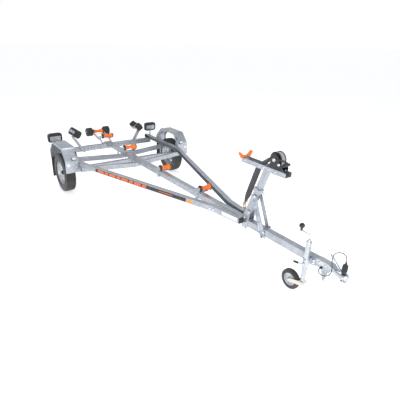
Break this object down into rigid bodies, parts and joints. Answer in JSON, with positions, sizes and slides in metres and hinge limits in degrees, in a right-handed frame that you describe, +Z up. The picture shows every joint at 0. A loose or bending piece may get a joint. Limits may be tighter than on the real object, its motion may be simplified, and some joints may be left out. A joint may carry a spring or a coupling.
{
  "type": "boat trailer",
  "caption": "Single-axle boat trailer with V drawbar, orange keel rollers, tilting hull roller bogies, winch post with bow stop, jockey wheel and ball coupling.",
  "frame": {"origin": "on the ground, under the middle of the trailer's box", "axes": "+X to the trailer's left, +Y to its rear, +Z up; the coupling points to -Y"},
  "size_m": [2.08, 5.2874, 1.2347],
  "materials": {
    "galvanised_steel": "hot-dip galvanised, dull spangle",
    "bright_zinc": "bright zinc plated",
    "tyre_rubber": "moulded tyre rubber",
    "wheel_silver": "silver wheel paint",
    "orange_polyurethane": "satin moulded polyurethane",
    "black_rubber": "moulded black rubber",
    "black_plastic": "moulded black plastic",
    "black_paint": "black powder coat",
    "lamp_housing": "black lamp housing with clear and red lenses",
    "webbing": "woven polyester webbing",
    "yellow_zinc": "yellow passivated zinc"
  },
  "bodies": {
    "frame": {"axle_tube": "galvanised_steel", "bow_stop": "orange_polyurethane", "coupling_handle": "bright_zinc", "coupling_head": "bright_zinc", "cradle_mount": "galvanised_steel", "fender_brackets": "galvanised_steel", "fender_left": "galvanised_steel", "fender_right": "galvanised_steel", "front_cross_member": "galvanised_steel", "hull_roller_posts": "galvanised_steel", "jockey_clamp": "bright_zinc", "jockey_crank": "bright_zinc", "jockey_outer_tube": "bright_zinc", "keel_roller_brackets": "galvanised_steel", "keel_tube": "galvanised_steel", "light_cable": "black_rubber", "marker_lamps": "lamp_housing", "middle_cross_member": "galvanised_steel", "mudflaps": "black_rubber", "plug_holder": "galvanised_steel", "rear_cross_beam": "galvanised_steel", "safety_wire": "bright_zinc", "side_member_left": "galvanised_steel", "side_member_right": "galvanised_steel", "spine_beam": "galvanised_steel", "strap_hook": "yellow_zinc", "tail_lamp_brackets": "galvanised_steel", "tail_lamps": "lamp_housing", "torsion_arms": "galvanised_steel", "trailer_plug": "black_plastic", "winch_channel": "galvanised_steel", "winch_frame": "black_paint", "winch_post_base": "galvanised_steel", "winch_post_lower": "galvanised_steel", "winch_post_struts": "galvanised_steel", "winch_post_upper": "galvanised_steel", "winch_strap": "webbing"},
    "wheel_left": {"tyre_left": "tyre_rubber", "rim_left": "wheel_silver"},
    "wheel_right": {"tyre_right": "tyre_rubber", "rim_right": "wheel_silver"},
    "keel_roller_front": {"keel_roller_front": "orange_polyurethane"},
    "keel_roller_middle": {"keel_roller_middle": "orange_polyurethane"},
    "keel_roller_rear": {"keel_roller_rear": "orange_polyurethane"},
    "keel_cradle": {"cradle_frame": "galvanised_steel"},
    "cradle_roller_front": {"cradle_roller_front": "orange_polyurethane"},
    "cradle_rollers_rear": {"cradle_roller_rear": "orange_polyurethane", "cradle_side_rollers": "black_rubber"},
    "hull_bogie_left": {"hull_bogie_left": "galvanised_steel"},
    "hull_bogie_right": {"hull_bogie_right": "galvanised_steel"},
    "hull_roller_front_left": {"hull_roller_front_left": "black_rubber"},
    "hull_roller_rear_left": {"hull_roller_rear_left": "black_rubber"},
    "hull_roller_front_right": {"hull_roller_front_right": "black_rubber"},
    "hull_roller_rear_right": {"hull_roller_rear_right": "black_rubber"},
    "winch_drum": {"winch_drum": "black_paint"},
    "jockey_leg": {"jockey_leg": "bright_zinc"},
    "jockey_fork": {"jockey_fork": "bright_zinc"},
    "jockey_wheel": {"jockey_tyre": "tyre_rubber", "jockey_rim": "wheel_silver"}
  },
  "joints": [
    {"name": "wheel_left_spin", "type": "hinge", "parent": "frame", "child": "wheel_left", "pos_m": [0.945, 1.61844, 0.289], "axis": [1, 0, 0], "continuous": true},
    {"name": "wheel_right_spin", "type": "hinge", "parent": "frame", "child": "wheel_right", "pos_m": [-0.945, 1.61844, 0.289], "axis": [1, 0, 0], "continuous": true},
    {"name": "keel_roller_front_spin", "type": "hinge", "parent": "frame", "child": "keel_roller_front", "pos_m": [0, -0.66181, 0.54231], "axis": [1, 0, 0], "continuous": true},
    {"name": "keel_roller_middle_spin", "type": "hinge", "parent": "frame", "child": "keel_roller_middle", "pos_m": [0, 0.24804, 0.56138], "axis": [1, 0, 0], "continuous": true},
    {"name": "keel_roller_rear_spin", "type": "hinge", "parent": "frame", "child": "keel_roller_rear", "pos_m": [0, 1.29171, 0.61974], "axis": [1, 0, 0], "continuous": true},
    {"name": "keel_cradle_tilt", "type": "hinge", "parent": "frame", "child": "keel_cradle", "pos_m": [0, 2.31481, 0.57038], "axis": [1, 0, 0], "range_deg": [0, 12]},
    {"name": "cradle_roller_front_spin", "type": "hinge", "parent": "keel_cradle", "child": "cradle_roller_front", "pos_m": [0, 2.14353, 0.63895], "axis": [1, 0, 0], "continuous": true},
    {"name": "cradle_rollers_rear_spin", "type": "hinge", "parent": "keel_cradle", "child": "cradle_rollers_rear", "pos_m": [0, 2.5697, 0.64056], "axis": [1, 0, 0], "continuous": true},
    {"name": "hull_bogie_left_tilt", "type": "hinge", "parent": "frame", "child": "hull_bogie_left", "pos_m": [0.555, 2.14383, 0.75501], "axis": [0.829, -0.0179, 0.5589], "range_deg": [-18, 18]},
    {"name": "hull_roller_front_left_spin", "type": "hinge", "parent": "hull_bogie_left", "child": "hull_roller_front_left", "pos_m": [0.55836, 2.04104, 0.74675], "axis": [0.829, -0.0179, 0.5589], "continuous": true},
    {"name": "hull_roller_rear_left_spin", "type": "hinge", "parent": "hull_bogie_left", "child": "hull_roller_rear_left", "pos_m": [0.55836, 2.24693, 0.75333], "axis": [0.829, -0.0179, 0.5589], "continuous": true},
    {"name": "hull_bogie_right_tilt", "type": "hinge", "parent": "frame", "child": "hull_bogie_right", "pos_m": [-0.555, 2.14383, 0.75501], "axis": [0.829, 0.0179, -0.5589], "range_deg": [-18, 18]},
    {"name": "hull_roller_front_right_spin", "type": "hinge", "parent": "hull_bogie_right", "child": "hull_roller_front_right", "pos_m": [-0.55836, 2.04104, 0.74675], "axis": [0.829, 0.0179, -0.5589], "continuous": true},
    {"name": "hull_roller_rear_right_spin", "type": "hinge", "parent": "hull_bogie_right", "child": "hull_roller_rear_right", "pos_m": [-0.55836, 2.24693, 0.75333], "axis": [0.829, 0.0179, -0.5589], "continuous": true},
    {"name": "winch_drum_spin", "type": "hinge", "parent": "frame", "child": "winch_drum", "pos_m": [0, -1.75612, 1.16068], "axis": [1, 0, 0], "continuous": true},
    {"name": "jockey_slide", "type": "slide", "parent": "frame", "child": "jockey_leg", "axis": [0, -0.0319, 0.9995], "range_m": [-0.04, 0.1]},
    {"name": "jockey_swivel", "type": "hinge", "parent": "jockey_leg", "child": "jockey_fork", "pos_m": [-0.08, -2.25696, 0.14573], "axis": [0, -0.0319, 0.9995], "range_deg": [-90, 90]},
    {"name": "jockey_wheel_spin", "type": "hinge", "parent": "jockey_fork", "child": "jockey_wheel", "pos_m": [-0.08, -2.12243, 0.1], "axis": [1, 0, 0], "continuous": true}
  ]
}
